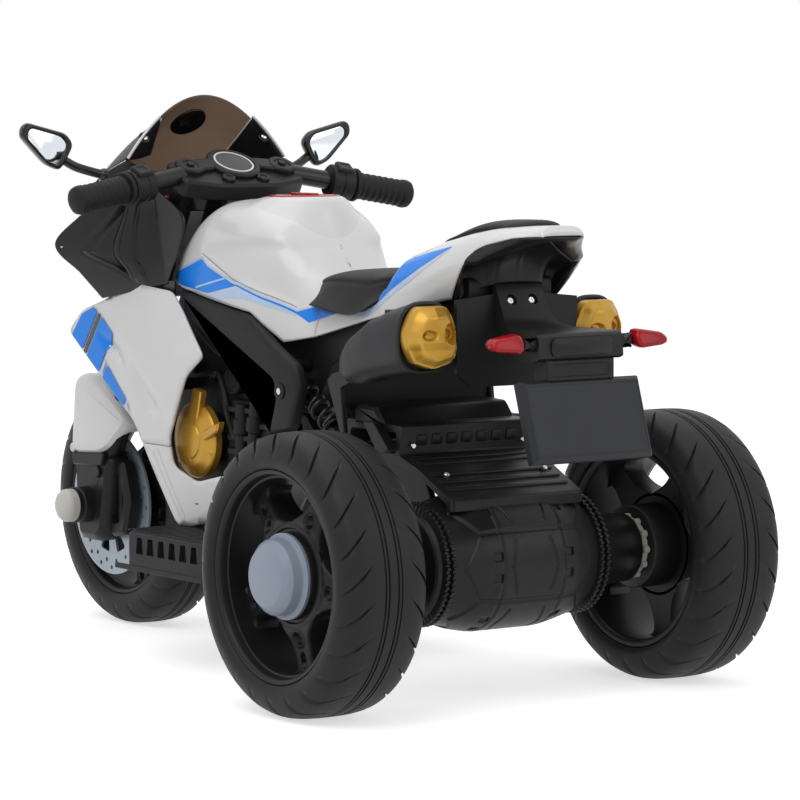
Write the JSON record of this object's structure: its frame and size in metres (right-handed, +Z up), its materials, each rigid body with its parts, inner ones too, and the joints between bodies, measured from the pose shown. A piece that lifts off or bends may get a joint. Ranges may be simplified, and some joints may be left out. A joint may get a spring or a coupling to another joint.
{
  "type": "kids electric motorbike",
  "caption": "Ride-on electric motorbike for a child, with a raked steering fork, sprung rear axle, fairings, seat, footrests and gear-driven rear wheels.",
  "frame": {"origin": "floor under the middle of the overall box", "axes": "+X forward, +Y to the rider's left, +Z up"},
  "size_m": [1.05, 0.592, 0.6492],
  "materials": {
    "white_panel": "gloss moulded plastic",
    "black_plastic": "satin moulded plastic",
    "dark_grey_plastic": "satin moulded plastic",
    "gold_plastic": "metallic lacquer",
    "tyre": "moulded tread",
    "red_lens": "clear red plastic",
    "red_plastic": "gloss moulded plastic",
    "hub_grey": "gloss moulded plastic",
    "cap_white": "gloss moulded plastic",
    "steel": "plain",
    "spring_steel": "black enamel",
    "disc_metal": "satin",
    "tinted_screen": "brown tint",
    "clear_lens": "clear",
    "seat_cover": "grained",
    "grip_rubber": "ribbed",
    "nylon": "plain",
    "battery_case": "plain",
    "bright_screw": "bright"
  },
  "bodies": {
    "chassis": {"frame_halves": "black_plastic", "battery": "battery_case", "control_box": "black_plastic", "tank_cover": "white_panel", "filler_cap": "red_plastic", "tail_cover": "white_panel", "under_tail": "black_plastic", "seat_pad": "seat_cover", "pillion_pad": "seat_cover", "tail_bracket": "black_plastic", "number_plate": "black_plastic", "nose_fairing": "white_panel", "cowl_liner": "black_plastic", "headlight": "clear_lens", "dash_panel": "black_plastic", "windscreen": "tinted_screen", "body_screws": "bright_screw", "exhausts": "dark_grey_plastic", "footrests": "black_plastic", "engine_covers": "black_plastic", "clutch_covers": "gold_plastic", "side_arms": "black_plastic", "belly_pans": "white_panel", "signal_lenses": "red_lens", "exhaust_tips": "gold_plastic", "shock_springs": "spring_steel", "side_fairing_left": "white_panel", "side_fairing_right": "white_panel"},
    "rear_axle_unit": {"swing_arm": "black_plastic", "rear_deck": "black_plastic", "rear_axle": "steel", "axle_housing": "black_plastic", "motors": "steel"},
    "steering": {"steering_stem": "steel", "upper_clamp": "black_plastic", "handlebar": "steel", "front_fender": "white_panel", "front_axle": "steel", "fork_legs": "black_plastic", "grips": "grip_rubber", "switch_housings": "black_plastic", "axle_caps": "cap_white"},
    "front_wheel": {"front_tyre": "tyre", "front_rim": "black_plastic", "brake_discs": "disc_metal"},
    "rear_wheel_left": {"rear_rim_left": "black_plastic", "rear_tyre_left": "tyre", "hub_cap_left": "hub_grey", "drive_gear_left": "nylon"},
    "rear_wheel_right": {"rear_rim_right": "black_plastic", "rear_tyre_right": "tyre", "hub_cap_right": "hub_grey", "drive_gear_right": "nylon"},
    "pinion_left": {"pinion_left": "steel"},
    "pinion_right": {"pinion_right": "steel"},
    "mirror_left": {"mirror_left": "black_plastic"},
    "mirror_right": {"mirror_right": "black_plastic"},
    "foot_pedal": {"foot_pedal": "black_plastic"},
    "start_button": {"start_button": "red_plastic"},
    "direction_rocker": {"direction_rocker": "black_plastic"}
  },
  "joints": [
    {"name": "rear_suspension", "type": "hinge", "parent": "chassis", "child": "rear_axle_unit", "pos_m": [-0.07, 0, 0.275], "axis": [0, 1, 0], "range_deg": [-2, 3], "stiffness_Nm_per_rad": 1500, "springref_deg": -0.38, "deforming": ["shock_springs"]},
    {"name": "steer", "type": "hinge", "parent": "chassis", "child": "steering", "pos_m": [0.362, 0, 0.15], "axis": [-0.4587, 0, 0.8886], "range_deg": [-25, 25]},
    {"name": "front_wheel_spin", "type": "hinge", "parent": "steering", "child": "front_wheel", "pos_m": [0.375, 0, 0.15], "axis": [0, 1, 0], "continuous": true},
    {"name": "rear_wheel_left_spin", "type": "hinge", "parent": "rear_axle_unit", "child": "rear_wheel_left", "pos_m": [-0.346, 0.237, 0.15], "axis": [0, 1, 0], "continuous": true},
    {"name": "rear_wheel_right_spin", "type": "hinge", "parent": "rear_axle_unit", "child": "rear_wheel_right", "pos_m": [-0.346, -0.237, 0.15], "axis": [0, 1, 0], "continuous": true},
    {"name": "pinion_left_spin", "type": "hinge", "parent": "rear_axle_unit", "child": "pinion_left", "pos_m": [-0.346, 0.135, 0.177], "axis": [0, 1, 0], "continuous": true},
    {"name": "pinion_right_spin", "type": "hinge", "parent": "rear_axle_unit", "child": "pinion_right", "pos_m": [-0.346, -0.135, 0.177], "axis": [0, 1, 0], "continuous": true},
    {"name": "mirror_left_fold", "type": "hinge", "parent": "chassis", "child": "mirror_left", "pos_m": [0.255, 0.124, 0.553], "axis": [0, 0, 1], "range_deg": [-12, 5]},
    {"name": "mirror_right_fold", "type": "hinge", "parent": "chassis", "child": "mirror_right", "pos_m": [0.255, -0.124, 0.553], "axis": [0, 0, -1], "range_deg": [-12, 5]},
    {"name": "foot_pedal_press", "type": "hinge", "parent": "chassis", "child": "foot_pedal", "pos_m": [-0.01, -0.145, 0.156], "axis": [0, 1, 0], "range_deg": [0, 4], "stiffness_Nm_per_rad": 3, "springref_deg": -8.59},
    {"name": "start_button_press", "type": "slide", "parent": "chassis", "child": "start_button", "axis": [0, 0, -1], "range_m": [0, 0.0025], "stiffness_N_per_m": 400, "springref_m": -0.002},
    {"name": "direction_rocker_tilt", "type": "hinge", "parent": "chassis", "child": "direction_rocker", "pos_m": [0.264, -0.032, 0.52], "axis": [0, 1, 0], "range_deg": [-8, 8]}
  ],
  "couplings": [
    {"joint": "pinion_left_spin", "follows": "rear_wheel_left_spin", "ratio": -4.4},
    {"joint": "pinion_right_spin", "follows": "rear_wheel_right_spin", "ratio": -4.4}
  ]
}
